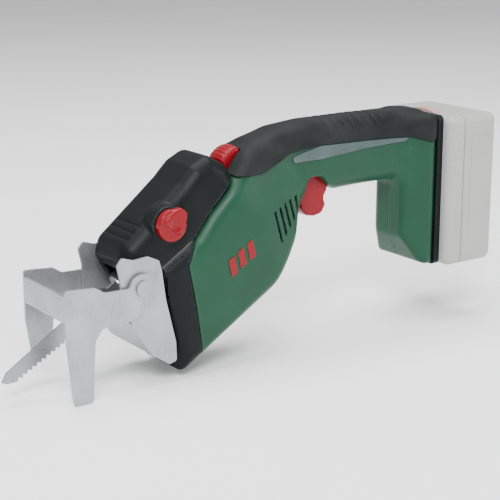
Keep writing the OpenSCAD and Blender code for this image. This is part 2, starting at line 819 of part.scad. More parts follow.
// Back plate of the foot with the two battery rails
module rail_plate() {
    color(black) difference() {
        union() {
            translate([foot_back, 0, 0]) rotate([90, 0, 90]) linear_extrude(plate_back - foot_back)
                offset(r = 4, $fn = hull_fn) offset(delta = -4) polygon([[-foot_half - 1, foot_low - 1],
                    [foot_half + 1, foot_low - 1], [foot_half + 1, foot_top + 1],
                        [-foot_half - 1, foot_top + 1]]);
            block([plate_back - eps, -rail_neck, rail_low],
                [plate_back + rail_neck_t, rail_neck, rail_high]);
            block([plate_back + rail_neck_t - eps, -rail_head, rail_low],
                [plate_back + rail_neck_t + rail_head_t, rail_head, rail_high]);
        }
        // Trough between the rails for the terminals
        block([foot_back - 1, -10, rail_low + 8], [plate_back + 20, 10, rail_high + 10]);
        block([foot_back + 2, -10, rail_high - 4], [plate_back + 20, 10, rail_high + 10]);
    }
}

module terminal_block() {
    color([0.8, 0.7, 0.4]) union() {
        block([foot_back - 6, -10 + seam, rail_low + 24], [foot_back + 2, 10 - seam, rail_high - 12]);
        for (y = [-6, 0, 6]) block([foot_back + 1, y - 0.4, rail_low + 30],
            [plate_back + 5, y + 0.4, rail_low + 44]);
    }
}

module housing_screws() {
    color(steel) {
        on_barrel() for (p = barrel_screws) {
            bar_y(screw_r, p[0], p[1], -barrel_rear_half + 2, barrel_rear_half - 4);
            bar_y(screw_head_r, p[0], p[1], barrel_rear_half - 6, barrel_rear_half - 3.5);
        }
        for (p = grip_screws) {
            bar_y(screw_r, p[0], p[1], -p[2] + wall + 2, p[2] - 4);
            bar_y(screw_head_r, p[0], p[1], p[2] - 6, p[2] - 3.5);
        }
    }
}

// Rounded block that both halves of the battery case are cut from
module battery_body(inset) {
    translate([battery_x + inset, 0, battery_low + inset]) hull() for (y = [-1, 1]) for (z = [0, 1])
        translate([0, y * (battery_w / 2 - 6), 6 - inset + z * (battery_h - 12)]) rotate([0, 90, 0])
            cylinder(r = 6 - inset, h = battery_t - 2 * inset, $fn = hull_fn);
}

// T-shaped channel that runs over the rails, open at the bottom
module rail_channel() {
    block([battery_x - 1, -rail_neck - rail_gap, battery_low - 1],
        [battery_x + rail_neck_t + 1, rail_neck + rail_gap, channel_top]);
    block([battery_x + rail_neck_t - free_gap - rail_gap, -rail_head - rail_gap, battery_low - 1],
        [battery_x + channel_depth, rail_head + rail_gap, channel_top]);
}

module battery_case_front() {
    color(pale) difference() {
        intersection() {
            battery_body(0);
            block([battery_x, -60, -60], [case_split, 60, 160]);
        }
        difference() {
            battery_body(case_wall);
            block([battery_x - 1, -rail_head - rail_gap - 2, battery_low],
                [battery_x + channel_depth + 2, rail_head + rail_gap + 2, channel_top + 2]);
            block([battery_x, -18, spring_seat - 1.5], [battery_x + 13, 18, spring_seat]);
        }
        rail_channel();
        block([button_x - slide_gap, -14 - slide_gap, button_top - 12],
            [button_x + 8 + slide_gap, 14 + slide_gap, button_top + 5]);
        block([battery_x + channel_depth - 1, -7.5, rail_low + 26], [battery_x + 9, 7.5, rail_low + 48]);
    }
}

module battery_case_rear() {
    color(pale) difference() {
        intersection() {
            battery_body(0);
            block([case_split + seam, -60, -60], [battery_x + 60, 60, 160]);
        }
        battery_body(case_wall);
        block([battery_x + battery_t - 1, -14, battery_low + 20],
            [battery_x + battery_t + 1, 14, battery_low + 32]);
    }
}

// Places of the ten cells, lying across the saw in two rows
module at_cells() {
    for (x = cell_rows) for (k = [0 : 4])
        translate([x, 0, cell_low + k * (2 * cell_r + cell_gap)]) rotate([90, 0, 0]) children();
}

module battery_cells() {
    color([0.5, 0.55, 0.65]) at_cells() cylinder(r = cell_r, h = 65, center = true);
}

module cell_holder() {
    color(black) difference() {
        intersection() {
            for (side = [0, 1]) mirror([0, side, 0]) block([cell_rows[0] - 3, 24, battery_low],
                [battery_x + battery_t, 34, cell_low + 8 * cell_r + 4 * cell_gap + cell_r + 1]);
            battery_body(case_wall);
        }
        at_cells() cylinder(r = cell_r + run_fit, h = 80, center = true);
    }
}

module battery_contacts() {
    color([0.8, 0.7, 0.4]) union() {
        for (y = [-6, 0, 6]) for (s = [0, 1]) translate([0, y, 0]) mirror([0, s, 0])
            block([battery_x + 1.5, 0.8, rail_low + 28],
                [battery_x + channel_depth + 1, 1.4, rail_low + 46]);
        block([battery_x + channel_depth + 0.2, -7.4, rail_low + 26.1],
            [battery_x + 8.3, 7.4, rail_low + 47.9]);
    }
}

module battery_button() {
    color([0.87, 0.78, 0.75]) union() {
        hull() {
            block([button_x, -14, button_top - 10], [button_x + 8, 14, button_top + 1]);
            block([button_x + 2, -12, button_top - 10], [button_x + 6, 12, button_top + 3]);
        }
        block([button_x + 2, -16, button_top - 10], [button_x + 6, 16, button_top - 7]);
    }
}

module button_spring() {
    color(steel) translate([button_x + 4, 0, spring_seat]) coil(2.5, 0.8, 4);
}

module charge_window() {
    color([0.3, 0.3, 0.32]) block([battery_x + battery_t - 1, -14 + seam, battery_low + 20 + seam],
        [battery_x + battery_t - 0.2, 14 - seam, battery_low + 32 - seam]);
}

housing_left();
housing_right();
front_collar();
nose_cover();
grip_cover();
grip_stripes();
side_badges();
foot_plate();
branch_bracket();
bracket_pins();
bracket_washers();
saw_blade();
blade_clamp();
clamp_sleeve();
clamp_spring();
plunger();
scotch_yoke();
rod_seal();
front_bush();
rear_bush();
gearbox_case();
gearbox_lid();
gearbox_screws();
crank_gear();
gear_axle();
motor_can();
motor_magnets();
motor_end_cap();
motor_bearings();
rotor();
cooling_fan();
pinion();
release_lever();
lever_spring();
lock_off_button();
lock_off_spring();
trigger();
trigger_spring();
switch_module();
control_board();
wiring();
rail_plate();
terminal_block();
housing_screws();
battery_case_front();
battery_case_rear();
battery_cells();
cell_holder();
battery_contacts();
battery_button();
button_spring();
charge_window();
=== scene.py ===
"""Looks of a cordless pruning saw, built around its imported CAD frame."""

import json
import math

import bpy
import numpy as np
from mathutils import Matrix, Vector


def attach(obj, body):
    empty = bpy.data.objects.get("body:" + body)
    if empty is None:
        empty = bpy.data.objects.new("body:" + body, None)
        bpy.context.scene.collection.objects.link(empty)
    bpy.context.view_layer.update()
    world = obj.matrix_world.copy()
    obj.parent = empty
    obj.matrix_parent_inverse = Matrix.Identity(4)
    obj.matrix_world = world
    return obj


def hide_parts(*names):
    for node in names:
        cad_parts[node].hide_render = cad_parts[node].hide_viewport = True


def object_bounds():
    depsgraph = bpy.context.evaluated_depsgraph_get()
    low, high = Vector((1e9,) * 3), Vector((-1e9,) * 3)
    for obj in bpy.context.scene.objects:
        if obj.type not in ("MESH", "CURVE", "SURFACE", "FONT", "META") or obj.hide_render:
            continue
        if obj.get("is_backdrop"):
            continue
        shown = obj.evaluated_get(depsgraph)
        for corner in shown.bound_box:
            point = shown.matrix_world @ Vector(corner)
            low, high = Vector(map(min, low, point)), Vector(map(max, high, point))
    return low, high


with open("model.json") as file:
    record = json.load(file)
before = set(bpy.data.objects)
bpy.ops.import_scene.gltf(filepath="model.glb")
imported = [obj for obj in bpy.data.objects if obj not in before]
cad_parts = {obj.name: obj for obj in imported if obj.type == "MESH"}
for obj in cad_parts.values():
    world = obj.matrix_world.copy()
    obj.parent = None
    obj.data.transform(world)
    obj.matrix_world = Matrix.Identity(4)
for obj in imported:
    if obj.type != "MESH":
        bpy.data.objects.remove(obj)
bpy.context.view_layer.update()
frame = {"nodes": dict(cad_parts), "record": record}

# Sizes in millimetres, in the frame's own axes
MM = 0.001
# Grid spacing of the large skins and of the small ones
STEP = 1.0
FINE = 0.5
# Tilt of the stroke line, wall of the shells and half the seam between them
SLOPE = math.radians(32)
WALL = 2.5
SEAM = 0.35
NOSE_HALF = 26
BARREL_HALF = 31
BARREL_REAR_HALF = 19
BARREL_DROP = 73
NOSE_RISE = 38
GRIP_HALF = 16.4
GRIP_TOP = 98.6
COVER_T = 1.6
FOOT_FRONT = 241
FOOT_BACK = 263
FOOT_LOW = -20
FOOT_TOP = GRIP_TOP - 4
LEVER_AT = (45, 24)
LEVER_R = 11
LOCK_AT = 117
# Openings, as opposite corners
TRIGGER_SLOT = (147.6, -7.9, 17), (175.4, 7.9, 66)
LOCK_WELL = (LOCK_AT - 8.9, -9.4, -20), (LOCK_AT + 8.9, 9.4, 60)
GEAR_ROOM = (20, -20.5, -30), (80.5, 20.5, 40)
TERMINAL_WAY = (258, -11, 12), (266, 11, 54)
SCREW_WELL_R = 3.2
BARREL_SCREWS = (46, -62), (104, -62.5), (100, 5)
GRIP_SCREWS = (128, 60), (196, 70), (246, 72)
# Count, first place, pitch and size of the vents and of the side bars
VENTS, VENT_AT, VENT_PITCH = 5, 112, 6.2
BARS, BAR_AT, BAR_PITCH, BAR_DROP, BAR_W, BAR_H = 3, 67, 9, 32, 5.8, 12
# Battery, its openings and its rail channel, as opposite corners
CASE = (268.3, -39, -22), (316.3, 39, 95)
CASE_WALL = 2
CASE_SPLIT = 282.3
CASE_SEAM = 0.15
RAIL_NECK = (267, -15.4, -30), (272.3, 15.4, 66)
RAIL_HEAD = (270.6, -20.4, -30), (274.7, 20.4, 66)
RAIL_LINING = (267.3, -22.4, -22), (276.7, 22.4, 68)
SPRING_SHELF = (268.3, -18, 76.5), (281.3, 18, 78)
BUTTON_WELL = (272.9, -14.4, 83), (281.7, 14.4, 100)
CONTACT_WAY = (273, -7.5, 18), (278, 7.5, 40)
WINDOW_WAY = (315.3, -14, -2), (317.3, 14, 10)

# ---------------------------------------------------------------- distance fields


def to_barrel(x, z):
    """Places along and across the stroke line, in the barrel's own plane."""
    return x * math.cos(SLOPE) + z * math.sin(SLOPE), z * math.cos(SLOPE) - x * math.sin(SLOPE)


def arced(corners, steps=6):
    """Closed outline whose corners (x, z, radius) are turned into round bends."""
    points = []
    for i, (x, z, radius) in enumerate(corners):
        here = np.array((x, z), float)
        back = np.array(corners[i - 1][:2], float) - here
        on = np.array(corners[(i + 1) % len(corners)][:2], float) - here
        back_len, on_len = np.hypot(*back), np.hypot(*on)
        half = math.acos(np.clip(back @ on / (back_len * on_len), -0.9999, 0.9999)) / 2
        reach = min(radius / math.tan(half), 0.48 * back_len, 0.48 * on_len)
        if reach < 0.05:
            points.append((x, z))
            continue
        start, end = here + back / back_len * reach, here + on / on_len * reach
        for t in np.linspace(0, 1, steps):
            points.append(tuple((1 - t) ** 2 * start + 2 * t * (1 - t) * here + t * t * end))
    return points


def flat_distance(points, x, z):
    """Signed distance from (x, z) to a closed outline, negative inside."""
    x, z = np.broadcast_arrays(x, z)
    nearest = np.full(x.shape, 1e9)
    inside = np.zeros(x.shape, bool)
    for (ax, az), (bx, bz) in zip(points, points[1:] + points[:1]):
        ex, ez = bx - ax, bz - az
        length = ex * ex + ez * ez
        if length < 1e-9:
            continue
        wx, wz = x - ax, z - az
        along = np.clip((wx * ex + wz * ez) / length, 0, 1)
        nearest = np.minimum(nearest, (wx - along * ex) ** 2 + (wz - along * ez) ** 2)
        if az != bz:
            inside ^= ((az > z) != (bz > z)) & (x < ex * (z - az) / ez + ax)
    return np.where(inside, -1.0, 1.0) * np.sqrt(nearest)


def rounded(a, b, edge):
    """Where both distances are negative, with the edge between them rounded."""
    u, v = a + edge, b + edge
    return np.minimum(np.maximum(u, v), 0) + np.hypot(np.maximum(u, 0), np.maximum(v, 0)) - edge


def merged(a, b, blend):
    """Either body, with a fillet between them."""
    h = np.clip(0.5 + 0.5 * (b - a) / blend, 0, 1)
    return b + (a - b) * h - blend * h * (1 - h)


def both(*fields):
    """Inside all of the bodies, with sharp edges."""
    return np.maximum.reduce(np.broadcast_arrays(*fields))


def either(*fields):
    """Inside any of the bodies, with sharp edges."""
    return np.minimum.reduce(np.broadcast_arrays(*fields))


def box_field(x, y, z, low, high, edge=0.0):
    """Box from one corner to the other, with rounded edges."""
    d = [np.abs(v - (a + b) / 2) - (b - a) / 2 + edge for v, a, b in zip((x, y, z), low, high)]
    outer = np.sqrt(sum(np.maximum(v, 0) ** 2 for v in d))
    return outer + np.minimum(np.maximum.reduce(np.broadcast_arrays(*d)), 0) - edge


def ease(t):
    """Smooth step from 0 to 1 while t goes from 0 to 1."""
    t = np.clip(t, 0, 1)
    return t * t * (3 - 2 * t)


# ---------------------------------------------------------------- meshes

CORNERS = [(i, j, k) for i in (0, 1) for j in (0, 1) for k in (0, 1)]
EDGES = [(a, b) for a in range(8) for b in range(a + 1, 8)
         if sum(p != q for p, q in zip(CORNERS[a], CORNERS[b])) == 1]


def gradient(field, p, h=0.05):
    """Slope of the field at each point, by differences over 2h."""
    parts = []
    for axis in range(3):
        q, r = [p[:, k].copy() for k in range(3)], [p[:, k].copy() for k in range(3)]
        q[axis] += h
        r[axis] -= h
        parts.append((field(*q) - field(*r)) / (2 * h))
    return np.stack(parts, 1)


def sampled(field, axes, step):
    """Field over the grid, kept outside all round its boundary."""
    values = np.broadcast_to(field(axes[0][:, None, None], axes[1][None, :, None],
                                   axes[2][None, None, :]), [len(a) for a in axes])
    values = np.where(np.abs(values) < 1e-6, 1e-6, values)
    for axis in range(3):
        for edge in (0, -1):
            np.moveaxis(values, axis, 0)[edge] = step
    return values


def crossings(values, cells):
    """Middle of the surface's crossings with each cell's edges, in cells."""
    at = [values[cells[:, 0] + i, cells[:, 1] + j, cells[:, 2] + k] for i, j, k in CORNERS]
    total, hits = np.zeros((len(cells), 3)), np.zeros(len(cells))
    for a, b in EDGES:
        cut = (at[a] < 0) != (at[b] < 0)
        t = np.where(cut, at[a] / np.where(cut, at[a] - at[b], 1), 0)[:, None]
        here = np.array(CORNERS[a]) + t * (np.array(CORNERS[b]) - np.array(CORNERS[a]))
        total += np.where(cut[:, None], here, 0)
        hits += cut
    return cells + total / hits[:, None]


def quads(inside, number):
    """One face for each grid edge that crosses the surface, turned outwards."""
    faces = []
    for axis in range(3):
        u, v = (axis + 1) % 3, (axis + 2) % 3
        near = [slice(None)] * 3
        far = [slice(None)] * 3
        near[axis], far[axis] = slice(0, -1), slice(1, None)
        a, b = inside[tuple(near)], inside[tuple(far)]
        edges = np.argwhere(a != b)
        edges = edges[(edges[:, u] > 0) & (edges[:, v] > 0)]
        out = a[tuple(edges.T)]
        quad = []
        for du, dv in ((1, 1), (0, 1), (0, 0), (1, 0)):
            c = edges.copy()
            c[:, u] -= du
            c[:, v] -= dv
            quad.append(number[tuple(c.T)])
        quad = np.stack(quad, 1)
        faces.append(np.where(out[:, None], quad, quad[:, ::-1]))
    faces = np.concatenate(faces)
    return faces[(faces >= 0).all(1)]


def surface(field, low, high, step):
    """Points and faces of the closed surface where the field is zero."""
    axes = [np.arange(a - 2 * step, b + 3 * step, step) for a, b in zip(low, high)]
    nx, ny, nz = (len(a) for a in axes)
    values = sampled(field, axes, step)
    inside = values < 0
    count = sum(inside[i:nx - 1 + i, j:ny - 1 + j, k:nz - 1 + k].astype(np.int8)
                for i, j, k in CORNERS)
    cells = np.argwhere((count > 0) & (count < 8))
    number = np.full((nx - 1, ny - 1, nz - 1), -1, np.int32)
    number[tuple(cells.T)] = np.arange(len(cells))
    points = np.array([a[0] for a in axes]) + crossings(values, cells) * step
    # Two steps towards the surface itself
    for _ in range(2):
        slope = gradient(field, points)
        steep = np.maximum((slope ** 2).sum(1), 0.05)
        move = -field(*points.T)[:, None] * slope / steep[:, None]
        points += np.clip(move, -0.45 * step, 0.45 * step)
    return points, quads(inside, number)


def skin(name, field, low, high, step, body, replaced, slot):
    """Smooth closed piece of a field, in place of CAD nodes and riding on their body."""
    points, faces = surface(field, low, high, step)
    mesh = bpy.data.meshes.new(name)
    mesh.from_pydata((points * MM).tolist(), [], faces.tolist())
    mesh.validate()
    mesh.shade_smooth()
    normals = gradient(field, points, 0.12)
    length = np.linalg.norm(normals, axis=1, keepdims=True)
    normals = np.where(length > 0.2, normals / np.maximum(length, 1e-6), (0, 0, 1))
    if len(mesh.vertices) == len(normals):
        mesh.normals_split_custom_set_from_vertices(normals.tolist())
    obj = bpy.data.objects.new(name, mesh)
    bpy.context.scene.collection.objects.link(obj)
    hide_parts(*replaced)
    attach(obj, body)
    mesh.materials.append(SLOTS[slot])


# ---------------------------------------------------------------- materials

# Turn of the brush lines, and a stretch that leaves cast and drawn pieces even
LEVEL = (0, 0, 0)
BLADE_TURN = (0, SLOPE, 0)
EVEN = (1, 1, 1)


def start(name):
    """New material with its shader, its object coordinates in millimetres and a link helper."""
    mat = bpy.data.materials.new(name)
    mat.use_nodes = True
    nodes, links = mat.node_tree.nodes, mat.node_tree.links
    shader = nodes["Principled BSDF"]
    place = nodes.new("ShaderNodeTexCoord")
    scale = nodes.new("ShaderNodeMapping")
    scale.inputs["Scale"].default_value = (1000, 1000, 1000)
    links.new(place.outputs["Object"], scale.inputs["Vector"])
    return mat, nodes, links, shader, scale.outputs["Vector"]


def noise(nodes, links, where, scale, detail=3, stretch=None):
    """Noise over the surface, with its features about 1/scale millimetres wide."""
    if stretch:
        pull = nodes.new("ShaderNodeMapping")
        pull.inputs["Scale"].default_value = stretch[0]
        pull.inputs["Rotation"].default_value = stretch[1]
        links.new(where, pull.inputs["Vector"])
        where = pull.outputs["Vector"]
    node = nodes.new("ShaderNodeTexNoise")
    node.inputs["Scale"].default_value = scale
    node.inputs["Detail"].default_value = detail
    links.new(where, node.inputs["Vector"])
    return node.outputs["Fac"]


def ranged(nodes, links, value, low, high, start_at=0.3, end_at=0.7):
    """Value stretched from one range to another."""
    node = nodes.new("ShaderNodeMapRange")
    node.inputs["From Min"].default_value = start_at
    node.inputs["From Max"].default_value = end_at
    node.inputs["To Min"].default_value = low
    node.inputs["To Max"].default_value = high
    links.new(value, node.inputs["Value"])
    return node.outputs["Result"]


def mixed(nodes, links, amount, colour_a, colour_b):
    """Mix of two colours, each a triple or a socket."""
    node = nodes.new("ShaderNodeMix")
    node.data_type = "RGBA"
    for socket, colour in ((6, colour_a), (7, colour_b)):
        if isinstance(colour, bpy.types.NodeSocket):
            links.new(colour, node.inputs[socket])
        else:
            node.inputs[socket].default_value = (*colour, 1)
    links.new(amount, node.inputs[0])
    return node.outputs[2]


def bumped(nodes, links, shader, height, strength, distance):
    """Relief from a height, with its depth in millimetres."""
    node = nodes.new("ShaderNodeBump")
    node.inputs["Strength"].default_value = strength
    node.inputs["Distance"].default_value = distance * MM
    links.new(height, node.inputs["Height"])
    links.new(node.outputs["Normal"], shader.inputs["Normal"])


def worn(nodes, links):
    """Share of wear along the outer edges of a piece."""
    shape = nodes.new("ShaderNodeNewGeometry")
    return ranged(nodes, links, shape.outputs["Pointiness"], 0, 1, 0.52, 0.6)


def plastic(name, colour, rough=0.42, grain=0.25, mottle=0.06, wear=0.25, specular=0.5):
    """Moulded plastic: fine spark-eroded grain, faint flow mottling and paler edges."""
    mat, nodes, links, shader, where = start(name)
    dark = tuple(c * (1 - mottle) for c in colour)
    light = tuple(min(1, c * (1 + mottle)) for c in colour)
    flow = noise(nodes, links, where, 0.035, 4)
    base = mixed(nodes, links, ranged(nodes, links, flow, 0, 1), dark, light)
    rubbed = tuple(min(1, c + (0.55 - c) * 0.25) for c in colour)
    scuff = noise(nodes, links, where, 0.5, 5)
    spots = nodes.new("ShaderNodeMath")
    spots.operation = "MULTIPLY"
    links.new(worn(nodes, links), spots.inputs[0])
    links.new(ranged(nodes, links, scuff, 0, wear), spots.inputs[1])
    links.new(mixed(nodes, links, spots.outputs[0], base, rubbed), shader.inputs["Base Color"])
    fine = noise(nodes, links, where, 2.2, 2)
    links.new(ranged(nodes, links, flow, rough - 0.05, rough + 0.07), shader.inputs["Roughness"])
    shader.inputs["Specular IOR Level"].default_value = specular
    bumped(nodes, links, shader, fine, grain, 0.12)
    return mat


def rubber(name, colour, rough=0.62, pitch=0.9):
    """Soft overmould with a pattern of small round pips."""
    mat, nodes, links, shader, where = start(name)
    cells = nodes.new("ShaderNodeTexVoronoi")
    cells.inputs["Scale"].default_value = pitch
    cells.inputs["Randomness"].default_value = 0.25
    links.new(where, cells.inputs["Vector"])
    pips = ranged(nodes, links, cells.outputs["Distance"], 1, 0, 0.1, 0.5)
    dust = noise(nodes, links, where, 0.05, 5)
    pale = tuple(min(1, c * 1.35 + 0.01) for c in colour)
    links.new(mixed(nodes, links, ranged(nodes, links, dust, 0, 0.8), colour, pale),
              shader.inputs["Base Color"])
    links.new(ranged(nodes, links, dust, rough - 0.06, rough + 0.1), shader.inputs["Roughness"])
    shader.inputs["Specular IOR Level"].default_value = 0.1
    bumped(nodes, links, shader, pips, 0.35, 0.2)
    return mat


def metal(name, colour, rough=0.3, brush=0.3, turn=LEVEL, stretch=(0.04, 1, 1), dirt=0.15,
          shine=0.9):
    """Bare metal with fine brush lines, cloudy polish and darker stains."""
    mat, nodes, links, shader, where = start(name)
    lines = noise(nodes, links, where, 2.5, 3, (stretch, turn))
    cloud = noise(nodes, links, where, 0.035, 5)
    dark = tuple(c * (1 - dirt) for c in colour)
    stained = mixed(nodes, links, ranged(nodes, links, cloud, 0, 1), colour, dark)
    streaked = mixed(nodes, links, ranged(nodes, links, lines, 0, 0.5), stained,
                     tuple(min(1, c * 1.12) for c in colour))
    links.new(streaked, shader.inputs["Base Color"])
    links.new(ranged(nodes, links, lines, rough - 0.05, rough + 0.1), shader.inputs["Roughness"])
    shader.inputs["Metallic"].default_value = shine
    bumped(nodes, links, shader, lines, brush, 0.04)
    return mat


def spotted_board(name):
    """Green lacquer over copper tracks."""
    mat, nodes, links, shader, where = start(name)
    bricks = nodes.new("ShaderNodeTexBrick")
    bricks.inputs["Scale"].default_value = 0.35
    bricks.inputs["Color1"].default_value = (0.02, 0.12, 0.05, 1)
    bricks.inputs["Color2"].default_value = (0.03, 0.17, 0.07, 1)
    bricks.inputs["Mortar"].default_value = (0.35, 0.28, 0.1, 1)
    links.new(where, bricks.inputs["Vector"])
    links.new(bricks.outputs["Color"], shader.inputs["Base Color"])
    links.new(ranged(nodes, links, noise(nodes, links, where, 0.4), 0.2, 0.4),
              shader.inputs["Roughness"])
    bumped(nodes, links, shader, bricks.outputs["Fac"], 0.3, 0.05)
    return mat


SLOTS = {
    "housing_green": plastic("green_plastic", (0.0105, 0.052, 0.028), 0.36, 0.22, 0.09, 0.3, 0.16),
    "housing_black": plastic("black_plastic", (0.006, 0.008, 0.0082), 0.42, 0.35, 0.14, 0.35, 0.1),
    "soft_black": rubber("black_rubber", (0.007, 0.0088, 0.0088), 0.55),
    "grip_grey": rubber("grey_rubber", (0.05, 0.071, 0.073), 0.5, 0.7),
    "accent_red": plastic("red_plastic", (0.19, 0.0025, 0.008), 0.26, 0.12, 0.08, 0.2, 0.2),
    "shoe_steel": metal("plated_steel", (0.36, 0.38, 0.393), 0.36, 0.12, LEVEL, (0.3, 1, 0.08),
                        0.4, 0.6),
    "blade_steel": metal("blade_steel", (0.30, 0.315, 0.325), 0.32, 0.35, BLADE_TURN),
    "drive_steel": metal("machined_steel", (0.42, 0.42, 0.43), 0.28, 0.3),
    "spring_steel": metal("spring_steel", (0.32, 0.32, 0.34), 0.3, 0.1, LEVEL, EVEN),
    "sleeve_black": plastic("filled_nylon", (0.008, 0.009, 0.010), 0.5, 0.4, 0.1, 0.2, 0.25),
    "bronze": metal("sintered_bronze", (0.40, 0.22, 0.09), 0.45, 0.4, LEVEL, EVEN, 0.25),
    "cast_alloy": metal("cast_alloy", (0.32, 0.33, 0.34), 0.5, 0.6, LEVEL, EVEN, 0.2),
    "rotor_copper": metal("lacquered_copper", (0.45, 0.16, 0.07), 0.3, 0.5, LEVEL, (0.1, 1, 1)),
    "magnet": plastic("sintered_magnet", (0.02, 0.02, 0.022), 0.55, 0.5, 0.15, 0.4),
    "board": spotted_board("lacquered_board"),
    "wire": plastic("wire_sleeve", (0.25, 0.005, 0.005), 0.4, 0.15, 0.1, 0.1),
    "contact": metal("plated_contact", (0.60, 0.40, 0.14), 0.25, 0.2),
    "battery_grey": plastic("grey_plastic", (0.34, 0.34, 0.335), 0.45, 0.35, 0.04, 0.25, 0.3),
    "button_rose": plastic("rose_plastic", (0.42, 0.27, 0.24), 0.4, 0.2, 0.05, 0.2, 0.3),
    "cell": metal("cell_sleeve", (0.05, 0.10, 0.20), 0.3, 0.1, LEVEL, EVEN, 0.1, 0.3),
    "window": plastic("smoked_window", (0.012, 0.012, 0.014), 0.12, 0.05, 0.1, 0.05),
}

# ---------------------------------------------------------------- housing

# Outlines as x, z and corner radius. The barrel, green line, collar and nose are drawn in the
# barrel's own plane, with the stroke line as x. The others are in the frame's.
BARREL = arced([(-5, -71, 3), (-1, -BARREL_DROP, 3), (92, -BARREL_DROP, 30), (127, -57.5, 30),
                (157, -27, 24), (148, 4, 20), (124, 18.5, 10), (110, 15, 8), (75, 8, 10),
                (57, 1.5, 10), (24, 1.7, 1), (15, -18, 20), (5, -48, 20)])
GRIP = arced([(98, 56, 10), (91, 74, 14), (106, GRIP_TOP - 11, 20), (127, GRIP_TOP - 3.4, 30),
              (154, GRIP_TOP - 0.8, 30), (200, GRIP_TOP, 60), (246, GRIP_TOP - 0.6, 20),
              (262.5, GRIP_TOP - 3, 8), (262.5, 58, 4), (248, 46.5, 10), (200, 46, 30),
              (148, 44.5, 6)])
FOOT = arced([(FOOT_FRONT, FOOT_LOW + 22, 14), (FOOT_FRONT + 13, FOOT_LOW, 8),
              (FOOT_BACK, FOOT_LOW, 0), (FOOT_BACK, FOOT_TOP, 0), (FOOT_FRONT, FOOT_TOP, 6)])
ARCH = arced([(146, 10, 0), (147, 52, 5), (151, 59, 5), (163, 59, 6), (171, 51, 8), (182, 44, 2),
              (182, 10, 0)])
GREEN_LINE = arced([(14, -200, 0), (14, -BARREL_DROP, 0), (40, -9, 6), (57, 1.2, 6), (76, 9.2, 6),
                    (106, 16.2, 6), (300, 60, 0), (300, -200, 0)])
COLLAR_LINE = [(-40, -200), (14 - SEAM, -200), (14 - SEAM, -BARREL_DROP), (40 - SEAM, -9 + SEAM),
               (57, 1.2 + SEAM), (57, 40), (-40, 40)]
COVER = arced([(70, 69, 0), (104, 69, 14), (130, 79, 14), (160, 82.2, 20), (244, 80, 20),
               (262.6, 74, 8), (262.6, 125, 0), (70, 125, 0)])
STRIPE = arced([(134, 72, 6), (160, 71.5, 14), (200, 74.5, 30), (240, 76.5, 3), (244, 79.6, 2),
                (160, 81.7, 20), (134, 76, 6)])


def barrel_half(along, across):
    """Half width of the barrel: crowned sides, drawn in behind the motor."""
    crown = 2.6 * ((across + 33) / 40) ** 2
    return BARREL_HALF + 0.15 - np.minimum(crown, 3) - (
        BARREL_HALF - BARREL_REAR_HALF) * ease((along - 96) / 58)


def barrel_field(x, y, z):
    """Barrel with rounded shoulders."""
    along, across = to_barrel(x, z)
    return rounded(flat_distance(BARREL, along, across), np.abs(y) - barrel_half(along, across), 9)


def grip_field(x, y, z):
    """Grip with a slight waist at the sides."""
    waist = 1.6 * np.exp(-((x - 208) / 30) ** 2)
    return rounded(flat_distance(GRIP, x, z), np.abs(y) - GRIP_HALF + waist, 12)


def foot_field(x, y, z):
    """Battery foot, flared to the battery's width."""
    half = 16 + 13 * np.clip((x - FOOT_FRONT) / 16, 0, 1)
    return rounded(flat_distance(FOOT, x, z), np.abs(y) - half, 4)


def hull_field(x, y, z):
    """Outer skin of the barrel, the grip and the foot, filleted together."""
    arm = merged(grip_field(x, y, z), foot_field(x, y, z), 9)
    whole = merged(barrel_field(x, y, z), arm, 14)
    return rounded(whole, -flat_distance(ARCH, x, z), 1.5)


def screw_wells(x, y, z):
    """Counterbores for the housing screws on the right."""
    along, across = to_barrel(x, z)
    wells = [np.hypot(along - a, across - b) - SCREW_WELL_R for a, b in BARREL_SCREWS]
    wells += [np.hypot(x - a, z - b) - SCREW_WELL_R for a, b in GRIP_SCREWS]
    return both(either(*wells), 8 - y)


def vent_slots(x, y, z):
    """Rows of slanted cooling slots beside the motor, both sides."""
    along, across = to_barrel(x, z)
    slots = []
    for k in range(VENTS):
        u = along - (VENT_AT + VENT_PITCH * k) - 0.35 * (across + 40)
        slots.append(rounded(np.abs(u) - 1.1, np.abs(across + 36) - 11 + 1.2 * k, 1))
    return both(either(*slots), 6 - np.abs(y))


def housing_field(x, y, z):
    """Green shell behind the green line, with its openings."""
    along, across = to_barrel(x, z)
    skin_d = hull_field(x, y, z)
    shell = both(skin_d, -skin_d - WALL)
    region = flat_distance(GREEN_LINE, along, across) + SEAM / 2
    shell = rounded(shell, region, 0.5)
    parting = np.hypot(y, skin_d) - 0.35
    slot = box_field(x, y, z, *TRIGGER_SLOT, 0.6)
    well = box_field(along, y, across, *LOCK_WELL, 1)
    room = box_field(along, y, across, *GEAR_ROOM)
    terminals = box_field(x, y, z, *TERMINAL_WAY)
    cuts = either(parting, slot, well, room, terminals, screw_wells(x, y, z), vent_slots(x, y, z))
    return both(shell, -cuts)


def badge_field(x, y, z):
    """Three slanted bars raised on each side of the barrel."""
    along, across = to_barrel(x, z)
    bars = []
    for k in range(BARS):
        u = along - (BAR_AT + BAR_PITCH * k) - (across + BAR_DROP) * 0.333
        bars.append(rounded(np.abs(u) - BAR_W / 2, np.abs(across + BAR_DROP) - BAR_H / 2, 1))
    skin_d = barrel_field(x, y, z)
    return both(rounded(skin_d - 0.75, either(*bars), 0.3), -skin_d + 0.02, 20 - np.abs(y))


